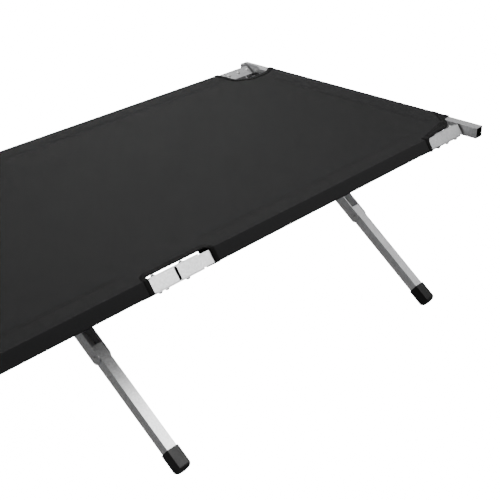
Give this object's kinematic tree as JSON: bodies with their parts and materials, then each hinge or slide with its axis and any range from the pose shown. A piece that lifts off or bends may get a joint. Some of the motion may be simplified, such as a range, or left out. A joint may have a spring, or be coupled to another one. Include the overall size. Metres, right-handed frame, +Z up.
{
  "type": "folding camp cot",
  "caption": "Folding camp bed: a taut dark canvas on square aluminium side rails and end bars, carried by crossed legs that fold at the knee and end in rubber caps.",
  "frame": {"origin": "on the floor under the middle of the bed", "axes": "+X along the bed towards its head, +Y towards the far rail, +Z up"},
  "size_m": [1.879, 0.74, 0.488],
  "materials": {
    "tube_aluminium": "satin drawn aluminium",
    "pressed_aluminium": "satin pressed aluminium",
    "steel_fasteners": "zinc plated steel",
    "foot_rubber": "black rubber, slight sheen",
    "plug_plastic": "black plastic",
    "spacer_nylon": "black nylon",
    "canvas": "charcoal woven canvas"
  },
  "bodies": {
    "near_frame": {"near_rail_head": "tube_aluminium", "near_rail_tail": "tube_aluminium", "near_hinge_link": "pressed_aluminium", "near_link_pins": "steel_fasteners", "near_rail_plugs": "plug_plastic", "near_leg_brackets": "pressed_aluminium", "near_bracket_rivets": "steel_fasteners", "near_knee_pins": "steel_fasteners", "near_sleeve_head": "canvas", "near_sleeve_tail": "canvas", "near_upper_leg_head": "pressed_aluminium", "near_upper_leg_middle": "pressed_aluminium", "near_upper_leg_tail": "pressed_aluminium", "crossing_bolts": "steel_fasteners", "crossing_nuts": "steel_fasteners", "crossing_spacers": "spacer_nylon", "canvas_sheet": "canvas", "canvas_head_sleeve": "canvas", "canvas_tail_sleeve": "canvas"},
    "far_frame": {"far_rail_head": "tube_aluminium", "far_rail_tail": "tube_aluminium", "far_hinge_link": "pressed_aluminium", "far_link_pins": "steel_fasteners", "far_rail_plugs": "plug_plastic", "far_leg_brackets": "pressed_aluminium", "far_bracket_rivets": "steel_fasteners", "far_knee_pins": "steel_fasteners", "far_sleeve_head": "canvas", "far_sleeve_tail": "canvas", "far_upper_leg_head": "pressed_aluminium", "far_upper_leg_middle": "pressed_aluminium", "far_upper_leg_tail": "pressed_aluminium"},
    "near_lower_head": {"near_lower_leg_head": "tube_aluminium", "near_foot_cap_head": "foot_rubber"},
    "near_lower_middle": {"near_lower_leg_middle": "tube_aluminium", "near_foot_cap_middle": "foot_rubber"},
    "near_lower_tail": {"near_lower_leg_tail": "tube_aluminium", "near_foot_cap_tail": "foot_rubber"},
    "far_lower_head": {"far_lower_leg_head": "tube_aluminium", "far_foot_cap_head": "foot_rubber"},
    "far_lower_middle": {"far_lower_leg_middle": "tube_aluminium", "far_foot_cap_middle": "foot_rubber"},
    "far_lower_tail": {"far_lower_leg_tail": "tube_aluminium", "far_foot_cap_tail": "foot_rubber"},
    "head_bar": {"head_bar": "tube_aluminium", "head_bar_plate": "pressed_aluminium", "head_bar_rivet": "steel_fasteners"},
    "tail_bar": {"tail_bar": "tube_aluminium", "tail_bar_plate": "pressed_aluminium", "tail_bar_rivet": "steel_fasteners"}
  },
  "joints": [
    {"name": "scissor_close", "type": "hinge", "parent": "near_frame", "child": "far_frame", "pos_m": [0, 0, 0.22721], "axis": [1, 0, 0], "range_deg": [0, 101], "deforming": ["canvas_sheet", "canvas_head_sleeve", "canvas_tail_sleeve"]},
    {"name": "near_knee_head", "type": "hinge", "parent": "near_frame", "child": "near_lower_head", "pos_m": [0.859, 0.06907, 0.17611], "axis": [-1, 0, 0], "range_deg": [0, 120]},
    {"name": "near_knee_middle", "type": "hinge", "parent": "near_frame", "child": "near_lower_middle", "pos_m": [-0.006, 0.06907, 0.17611], "axis": [-1, 0, 0], "range_deg": [0, 120]},
    {"name": "near_knee_tail", "type": "hinge", "parent": "near_frame", "child": "near_lower_tail", "pos_m": [-0.895, 0.06907, 0.17611], "axis": [-1, 0, 0], "range_deg": [0, 120]},
    {"name": "far_knee_head", "type": "hinge", "parent": "far_frame", "child": "far_lower_head", "pos_m": [0.895, -0.06907, 0.17611], "axis": [1, 0, 0], "range_deg": [0, 120]},
    {"name": "far_knee_middle", "type": "hinge", "parent": "far_frame", "child": "far_lower_middle", "pos_m": [0.03, -0.06907, 0.17611], "axis": [1, 0, 0], "range_deg": [0, 120]},
    {"name": "far_knee_tail", "type": "hinge", "parent": "far_frame", "child": "far_lower_tail", "pos_m": [-0.859, -0.06907, 0.17611], "axis": [1, 0, 0], "range_deg": [0, 120]},
    {"name": "head_bar_pull", "type": "slide", "parent": "near_frame", "child": "head_bar", "axis": [0, 1, 0], "range_m": [0, 0.74]},
    {"name": "tail_bar_pull", "type": "slide", "parent": "near_frame", "child": "tail_bar", "axis": [0, -1, 0], "range_m": [0, 0.74]}
  ]
}
